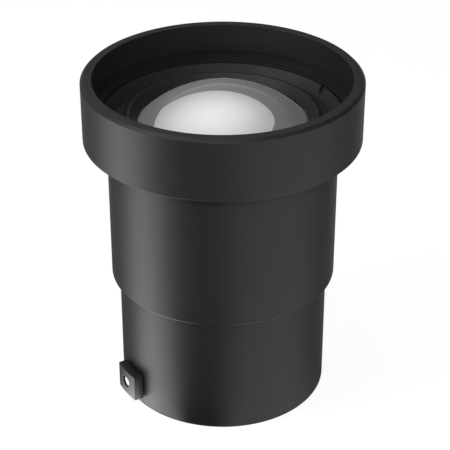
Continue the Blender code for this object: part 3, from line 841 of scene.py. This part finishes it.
r_clear = r_optic - OPTIC_SEAT
z_rear_rim = z_optic_low + OPTIC_SAG
bulge = cap_outline(r_clear, z_rear_rim, -OPTIC_SAG, BULGE_STEPS)
dish = cap_outline(r_clear, z_rear_rim + OPTIC_RIM, -OPTIC_SAG / 2, DISH_STEPS)
optic_outline = np.vstack([bulge, [(r_optic, z_rear_rim), (r_optic, z_rear_rim + OPTIC_RIM)],
                           dish[::-1]])
rear_glass = spun("rear_glass", optic_outline, SMALL_STEPS)
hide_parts("rear_lens")

r_ring = radius_of("rear_retaining_ring")
z_ring, z_ring_top = span_of("rear_retaining_ring")
r_ring_hole = r_ring - RING_WALL + GAP
rear_ring = turned("rear_retaining_ring_shell", [
    (r_ring_hole + RING_BEVEL, z_ring, EDGE),
    (r_ring, z_ring, EDGE),
    (r_ring, z_ring_top, EDGE),
    (r_ring_hole, z_ring_top, EDGE),
    (r_ring_hole, z_ring + RING_BEVEL, EDGE),
], SMALL_STEPS)
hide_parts("rear_retaining_ring")

# %% [markdown]
# ## Finishes
#
# Every colour is written as the sRGB hex value that one would read off a photograph, and one
# function turns it into the linear value that Blender works with. Another small function
# adds a node with its settings and links, and all the materials are written with it.

# %% Colours and nodes


def linear(code):
    """An sRGB hex colour as linear red, green, blue and alpha.

    Each channel c from 0 to 1 becomes c / 12.92 up to 0.04045, and above that
    ((c + 0.055) / 1.055) to the power 2.4.
    """
    c = np.array([int(code[i:i + 2], 16) for i in (1, 3, 5)]) / 255
    c = np.where(c <= 0.04045, c / 12.92, ((c + 0.055) / 1.055) ** 2.4)
    return (*c, 1.0)


def add(tree, kind, settings=None, inputs=None):
    """Add a node. Settings are its own properties; inputs are values, or sockets to link."""
    node = tree.nodes.new(kind)
    for key, value in (settings or {}).items():
        setattr(node, key, value)
    for key, value in (inputs or {}).items():
        if isinstance(value, bpy.types.NodeSocket):
            tree.links.new(value, node.inputs[key])
        else:
            node.inputs[key].default_value = value
    return node


def new_material(name, **values):
    """A material with one principled shader, whose plain values are set on its own sockets."""
    material = bpy.data.materials.new(name)
    material.use_nodes = True
    shader = material.node_tree.nodes["Principled BSDF"]
    for key, value in values.items():
        shader.inputs[key.replace("_", " ")].default_value = value
    return material, material.node_tree, shader


def grain(tree, size):
    """Noise on object coordinates whose spots are about as wide as a size in metres."""
    where = add(tree, "ShaderNodeTexCoord")
    return add(tree, "ShaderNodeTexNoise", {}, {
        "Vector": where.outputs["Object"], "Scale": 1 / size}).outputs["Fac"]


def between(tree, value, low, high):
    """Spread a value from 0 to 1 over the range from low to high."""
    return add(tree, "ShaderNodeMapRange", {}, {
        "Value": value, "To Min": low, "To Max": high}).outputs["Result"]


def bumped(tree, shader, value, height):
    """Let a value from 0 to 1 raise the surface by a height in metres."""
    bump = add(tree, "ShaderNodeBump", {}, {"Height": value, "Distance": height})
    tree.links.new(bump.outputs["Normal"], shader.inputs["Normal"])


def two_toned(tree, shader, dark, light, size):
    """Let the colour wander between two tones in spots of about a size in metres."""
    tone = add(tree, "ShaderNodeMix", {"data_type": "RGBA"}, {
        "Factor": grain(tree, size), "A": linear(dark), "B": linear(light)})
    tree.links.new(tone.outputs["Result"], shader.inputs["Base Color"])


print("mid grey #808080 is linear %.3f" % linear("#808080")[0])

# %% [markdown]
# ### Black anodised aluminium
#
# The barrels are turned, blasted with fine beads and then anodised: a current grows a thin
# hard oxide on the metal, and its pores take up black dye. The eye sees a dense black with a
# soft satin sheen and no mirror image. The blasting leaves a grain of about 0.1 mm, too fine
# to show here, so it is drawn at 0.35 mm and kept very shallow. The oxide's refractive index
# is about 1.6, and the lower one here was matched to the walls in the photograph.

# %% Black anodised aluminium
OXIDE_INDEX = 1.25
GRAIN = 0.35 * MM
GRAIN_HEIGHT = 0.004 * MM
CLOUD = 9 * MM


def anodised(name, dark, light, smooth, rough):
    """Dyed oxide on blasted aluminium: a slight change of tone and gloss, and a fine grain."""
    material, tree, shader = new_material(name, Metallic=0.0, IOR=OXIDE_INDEX)
    two_toned(tree, shader, dark, light, CLOUD)
    fine = grain(tree, GRAIN)
    tree.links.new(between(tree, fine, smooth, rough), shader.inputs["Roughness"])
    bumped(tree, shader, fine, GRAIN_HEIGHT)
    return material


satin_black = anodised("satin_black_anodised_aluminium", "#121212", "#161616",
                       smooth=0.40, rough=0.50)
inner_black = anodised("matt_black_anodised_aluminium", "#121212", "#151515",
                       smooth=0.45, rough=0.55)

# %% [markdown]
# ### Coated germanium
#
# Polished germanium is a grey, metal-like crystal with a very high refractive index, about 4,
# so it mirrors more than a third of the light even where one looks straight at it. The
# coating for heat rays adds an even mid grey. The eye sees a grey mirror: a bright patch
# where the lamp overhead stands, and the grey of the room round it. A little sheen stands for
# the fine dust on the coating, which draws a thin light line along the dome's far edge.

# %% Coated germanium
COATING_RIPPLE = 6 * MM
COATING_HEIGHT = 0.0005 * MM

germanium, tree, shader = new_material(
    "coated_germanium", Base_Color=linear("#717273"), Metallic=0.0, IOR=4.0, Roughness=0.04,
    Sheen_Weight=0.15, Sheen_Roughness=0.22)
bumped(tree, shader, grain(tree, COATING_RIPPLE), COATING_HEIGHT)

# %% [markdown]
# ### Small finishes
#
# The bayonet ring is ground stainless steel, the screws are blackened steel, the seals are
# moulded rubber and the index dot is a drop of white enamel.

# %% Small finishes
STREAK_WIDTH = 2 * MM
STREAK_SQUEEZE = (1.0, 12.0, 1.0)
STREAK_HEIGHT = 0.002 * MM
STREAK_GLOSS = 0.06


def ground_steel(name, colour, roughness):
    """Ground metal: bright, with roughness that changes in streaks along the grinding."""
    material, tree, shader = new_material(name, Base_Color=linear(colour), Metallic=1.0)
    where = add(tree, "ShaderNodeTexCoord")
    squeezed = add(tree, "ShaderNodeMapping", {}, {
        "Vector": where.outputs["Object"], "Scale": STREAK_SQUEEZE})
    streaks = add(tree, "ShaderNodeTexNoise", {}, {
        "Vector": squeezed.outputs["Vector"], "Scale": 1 / STREAK_WIDTH, "Detail": 4.0})
    streak = streaks.outputs["Fac"]
    tree.links.new(between(tree, streak, roughness - STREAK_GLOSS, roughness + STREAK_GLOSS),
                   shader.inputs["Roughness"])
    bumped(tree, shader, streak, STREAK_HEIGHT)
    return material


def moulded(name, dark, light, cloud, grit, height, roughness):
    """A finish with two tones in soft clouds and a fine grit of a given height."""
    material, tree, shader = new_material(name, Roughness=roughness, IOR=1.5)
    two_toned(tree, shader, dark, light, cloud)
    bumped(tree, shader, grain(tree, grit), height)
    return material


stainless = ground_steel("ground_stainless_steel", "#B9B9B6", roughness=0.30)
black_steel = ground_steel("blackened_steel", "#2C2C2E", roughness=0.38)
rubber = moulded("moulded_nitrile_rubber", "#101010", "#191919",
                 cloud=1.5 * MM, grit=0.4 * MM, height=0.01 * MM, roughness=0.75)
white_enamel = moulded("white_enamel", "#F2F2F0", "#FBFBFA",
                       cloud=0.8 * MM, grit=0.5 * MM, height=0.004 * MM, roughness=0.35)

# %% [markdown]
# ## Dressing the pieces
#
# Each new piece gets its finish and a ride on the only body, "root". The finishes are listed
# under the names of the record's material slots, and through those names the solids that stay,
# deep inside the barrel, get the same finishes.

# %% Dressing the pieces
finishes = {
    "anodised_black": (satin_black, [hood, main, rear, block]),
    "inner_black": (inner_black, [cell, retaining_ring, rear_cell, rear_ring]),
    "coated_germanium": (germanium, [front_glass, rear_glass]),
    "bayonet_steel": (stainless, [bayonet]),
    "screw_steel": (black_steel, screws),
    "white_enamel": (white_enamel, [dot]),
}
for slot, (material, pieces) in finishes.items():
    for piece in pieces:
        piece.data.materials.clear()
        piece.data.materials.append(material)
        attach(piece, "root")

slot_finish = {slot: material for slot, (material, _) in finishes.items()}
slot_finish["seal_rubber"] = rubber
for subpart in frame["record"]["subparts"]:
    for solid_slot in nodes[subpart["node"]].material_slots:
        solid_slot.material = slot_finish[subpart["material_slot"]]
print("pieces:", sum(len(pieces) for _, pieces in finishes.values()))

# %% [markdown]
# ## Floor and light
#
# The lens stands on a plain pale floor. The floor's paper takes the real light and keeps the
# lens's shadow, and what the camera and the reflections see of it is mixed with even white,
# so the background stays pale without more light on the lens.

# %% The floor
FLOOR_HALF = 6.0
FLOOR_WHITE = 0.9

floor_mesh = bpy.data.meshes.new("floor")
floor_mesh.from_pydata([(x * FLOOR_HALF, y * FLOOR_HALF, 0.0)
                        for x, y in ((-1, -1), (1, -1), (1, 1), (-1, 1))], [], [(0, 1, 2, 3)])
floor = into_scene("floor", floor_mesh)
floor_paper, tree, shader = new_material("white_paper", Base_Color=linear("#F0F0F0"),
                                         Roughness=0.9)
path = add(tree, "ShaderNodeLightPath")
seen = path.outputs["Is Camera Ray"]
for ray in ("Is Glossy Ray", "Is Transmission Ray"):
    either = add(tree, "ShaderNodeMath", {"operation": "MAXIMUM"}, {
        0: seen, 1: path.outputs[ray]})
    seen = either.outputs[0]
share = add(tree, "ShaderNodeMath", {"operation": "MULTIPLY"}, {0: seen, 1: FLOOR_WHITE})
white = add(tree, "ShaderNodeEmission", {}, {"Color": linear("#FFFFFF"), "Strength": 1.0})
both = add(tree, "ShaderNodeMixShader", {}, {
    0: share.outputs[0], 1: shader.outputs[0], 2: white.outputs[0]})
tree.links.new(both.outputs[0], tree.nodes["Material Output"].inputs["Surface"])
floor.data.materials.append(floor_paper)

# %% [markdown]
# A black object is drawn by what it mirrors. Soft lamps stand round the lens: a large one
# overhead with a hot centre, which makes the white patch on the glass, a key at the left and
# a weaker fill at the right. A small lamp just above the camera gives each step of the barrel
# a thin shadow under it, and a higher one at the left reaches into the hood and lights the
# far side of the cone. Places are given as a compass angle round the lens, counted from
# the camera to the right, and an angle above the floor.

# %% Lamps
LAMP_DISTANCE = 0.65
LAMP_AIM = Vector((0, 0, 0.06))


def direction(round_angle, height_angle):
    """The unit vector (sin a cos h, -cos a cos h, sin h) towards a place in the studio."""
    a, h = radians(round_angle), radians(height_angle)
    return Vector((sin(a) * cos(h), -cos(a) * cos(h), sin(h)))


def softbox(name, round_angle, height_angle, wide, high, brightness):
    """A square lamp that looks as wide and high as two angles, seen from the lens.

    Brightness 1 is that of a white card in full light, and the lamp's power is then
    brightness times pi times its area.
    """
    data = bpy.data.lights.new(name, "AREA")
    data.shape = "RECTANGLE"
    data.size = 2 * LAMP_DISTANCE * tan(radians(wide / 2))
    data.size_y = 2 * LAMP_DISTANCE * tan(radians(high / 2))
    data.energy = brightness * pi * data.size * data.size_y
    lamp = into_scene(name, data)
    towards = direction(round_angle, height_angle)
    lamp.location = LAMP_AIM + towards * LAMP_DISTANCE
    lamp.rotation_euler = towards.to_track_quat("Z", "Y").to_euler()
    lamp.visible_camera = False
    print("%-10s %.0f W" % (name, data.energy))


softbox("key", -66, 20, wide=24, high=24, brightness=13.0)
softbox("fill", 60, 20, wide=36, high=24, brightness=3.0)
softbox("front", 0, 37, wide=4, high=4, brightness=450.0)
softbox("side", -71, 50, wide=26, high=26, brightness=5.5)

# %% [markdown]
# The overhead lamp is a large softbox that hangs askew, with its corner behind the lens at
# the left. The patch on the dome shows it as a bright field with a drawn-out left end. Its
# outline is a square whose corners and sides are both a little round, a superellipse.

# %% The overhead lamp
OVERHEAD_ROUND, OVERHEAD_HEIGHT = 205, 66
OVERHEAD_SHIFT = (0.325, 0.309)
OVERHEAD_HALF = (0.770, 0.963)
OVERHEAD_TURN = -35.3
SQUARENESS = 4
HOT_ROUND, HOT_HEIGHT = 202, 68.5
HOT_REACH = 0.65
OVERHEAD_EDGE, OVERHEAD_CENTRE = 0.70, 1.7
OUTLINE_STEPS = 96


def glow(name, mesh, strength_of):
    """A glowing card that the camera doesn't see. strength_of adds the nodes of its glow."""
    material = bpy.data.materials.new(name)
    material.use_nodes = True
    tree = material.node_tree
    tree.nodes.remove(tree.nodes["Principled BSDF"])
    emission = add(tree, "ShaderNodeEmission", {}, strength_of(tree))
    tree.links.new(emission.outputs[0], tree.nodes["Material Output"].inputs["Surface"])
    mesh.materials.append(material)
    card = into_scene(name, mesh)
    card.visible_camera = False
    return card


def askew_square():
    """The lamp's outline in its own plane.

    x = a sign(cos p) |cos p|^(2/n) and y = b sign(sin p) |sin p|^(2/n), with the half sizes a
    and b and the squareness n, and then turned and shifted.
    """
    p = np.linspace(0, 2 * pi, OUTLINE_STEPS, endpoint=False)
    wave = np.stack([np.cos(p), np.sin(p)])
    x, y = np.sign(wave) * np.abs(wave) ** (2 / SQUARENESS) * np.array(OVERHEAD_HALF)[:, None]
    c, s = cos(radians(OVERHEAD_TURN)), sin(radians(OVERHEAD_TURN))
    along, across = OVERHEAD_SHIFT
    return np.column_stack([along + x * c - y * s, across + x * s + y * c, 0 * p])


overhead = direction(OVERHEAD_ROUND, OVERHEAD_HEIGHT)
hot_place = LAMP_AIM + direction(HOT_ROUND, HOT_HEIGHT) * LAMP_DISTANCE
sheet_mesh = bpy.data.meshes.new("overhead")
sheet_mesh.from_pydata(askew_square(), [], [range(OUTLINE_STEPS)])
sheet_mesh.transform(Matrix.Translation(LAMP_AIM + overhead * LAMP_DISTANCE)
                     @ overhead.to_track_quat("Z", "Y").to_matrix().to_4x4())


def hot_centre(tree):
    """Brightness that falls smoothly from the hot place towards the lamp's edge."""
    where = add(tree, "ShaderNodeTexCoord")
    away = add(tree, "ShaderNodeVectorMath", {"operation": "DISTANCE"}, {
        0: where.outputs["Object"], 1: hot_place})
    level = add(tree, "ShaderNodeMapRange", {"interpolation_type": "SMOOTHSTEP"}, {
        "Value": away.outputs["Value"], "From Max": HOT_REACH,
        "To Min": OVERHEAD_CENTRE, "To Max": OVERHEAD_EDGE})
    return {"Strength": level.outputs["Result"]}


glow("overhead", sheet_mesh, hot_centre)

# %% [markdown]
# The upright walls mirror what lies low round the lens, so a photographer lays cards there:
# a bright one at the left, a black one in front and a grey one at the right. Here they are
# one flat ring whose brightness changes smoothly round the lens, and only reflections see it.
# The places of the cards and how bright they are were matched to the photograph's walls.

# %% The ring of cards
RING_INNER, RING_OUTER = 0.031, 0.70
RING_STEPS = 96
RING_BRIGHTEST = 9.0
RING_CENTRE = -0.022
BRIGHT_CARD = {-112: 0.02, -87: 0.95, -77: 0.84}
BLACK_CARD = {-51: 0.0, -20: 0.0}
GREY_CARD = {35: 0.29, 65: 0.27, 118: 0.03}
RING_LEVELS = {-180: 0.10, -130: 0.02, **BRIGHT_CARD, **BLACK_CARD, **GREY_CARD, 179: 0.10}

t = np.linspace(0, 2 * pi, RING_STEPS, endpoint=False)[:, None]
r = np.array([[RING_INNER, RING_OUTER]])
ring_grid = np.stack([r * np.sin(t), -r * np.cos(t), 0 * t + 0 * r + GAP], -1)
inner = np.arange(RING_STEPS) * 2
next_inner = np.roll(inner, -1)
ring_faces = np.column_stack([inner, inner + 1, next_inner + 1, next_inner])
ring_mesh = bpy.data.meshes.new("card_ring")
ring_mesh.from_pydata(ring_grid.reshape(-1, 3), [], ring_faces)


def round_levels(tree):
    """Brightness by the compass angle, smooth between the named levels.

    The angle is counted round a point a little in front of the axis, because that is where
    the lines of sight that the barrels mirror to the floor seem to come from.
    """
    where = add(tree, "ShaderNodeTexCoord")
    turned_round = add(tree, "ShaderNodeMapping", {}, {
        "Vector": where.outputs["Object"], "Rotation": (0, 0, pi / 2),
        "Location": (RING_CENTRE, 0, 0)})
    compass = add(tree, "ShaderNodeTexGradient", {"gradient_type": "RADIAL"}, {
        "Vector": turned_round.outputs["Vector"]})
    ramp = add(tree, "ShaderNodeValToRGB", {}, {"Fac": compass.outputs["Fac"]})
    ramp.color_ramp.interpolation = "EASE"
    stops = ramp.color_ramp.elements
    while len(stops) > 1:
        stops.remove(stops[-1])
    for index, (angle, level) in enumerate(RING_LEVELS.items()):
        place = angle / 360 + 0.5
        stop = stops.new(place) if index else stops[0]
        stop.position = place
        stop.color = (level, level, level, 1.0)
    return {"Color": ramp.outputs["Color"], "Strength": RING_BRIGHTEST}


card_ring = glow("card_ring", ring_mesh, round_levels)
card_ring.visible_diffuse = False
card_ring.visible_shadow = False

# %% [markdown]
# The world adds the rest: a dim room that is a little lighter along the horizon, as a studio
# with pale walls is. The far edge of the dome mirrors that lighter band.

# %% The world
HORIZON_LEVEL, ROOM_LEVEL = 0.22, 0.05
BAND_LOW, BAND_HIGH = 8, 22

world = bpy.data.worlds.new("studio")
bpy.context.scene.world = world
world.use_nodes = True
tree = world.node_tree
where = add(tree, "ShaderNodeTexCoord")
axes = add(tree, "ShaderNodeSeparateXYZ", {}, {0: where.outputs["Generated"]})
level = add(tree, "ShaderNodeMapRange", {"interpolation_type": "SMOOTHSTEP"}, {
    "Value": axes.outputs["Z"], "From Min": sin(radians(BAND_LOW)),
    "From Max": sin(radians(BAND_HIGH)), "To Min": HORIZON_LEVEL, "To Max": ROOM_LEVEL})
tree.links.new(level.outputs["Result"], tree.nodes["Background"].inputs["Strength"])
tree.nodes["Background"].inputs["Color"].default_value = linear("#FFFFFF")

bpy.context.scene.view_settings.view_transform = "Standard"
